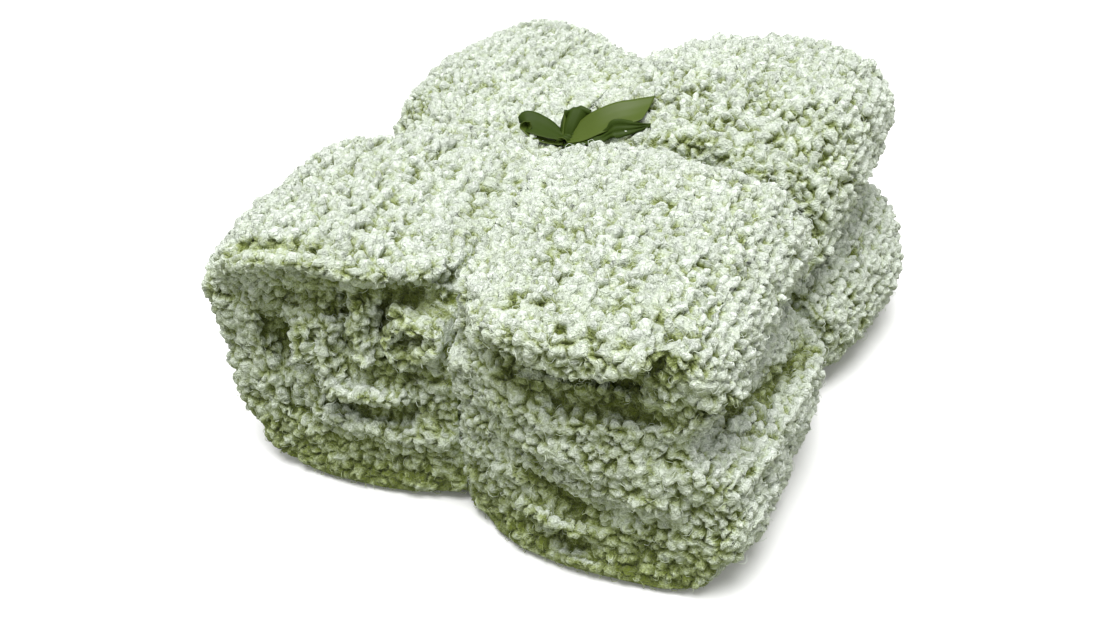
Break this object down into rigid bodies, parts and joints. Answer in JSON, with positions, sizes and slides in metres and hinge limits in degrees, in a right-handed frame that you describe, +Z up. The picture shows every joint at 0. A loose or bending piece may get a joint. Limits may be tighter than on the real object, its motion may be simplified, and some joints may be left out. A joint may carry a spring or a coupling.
{
  "type": "folded throw blanket tied with a ribbon",
  "caption": "Folded deep-pile knitted throw, tied both ways with a satin ribbon and a small bow, so that it swells into soft lobes between the grooves.",
  "frame": {"origin": "on the surface that the folded throw rests on, under the middle of its overall box", "axes": "+X along the front of the folded throw towards its narrow folds, +Y from the front to the back, +Z up"},
  "size_m": [0.3462, 0.3668, 0.1819],
  "materials": {
    "throw": "deep curly knitted pile, pale green with deeper green between the tufts",
    "ribbon": "woven satin with a soft sheen"
  },
  "bodies": {
    "root": {"throw": "throw", "ribbon": "ribbon"}
  },
  "joints": []
}
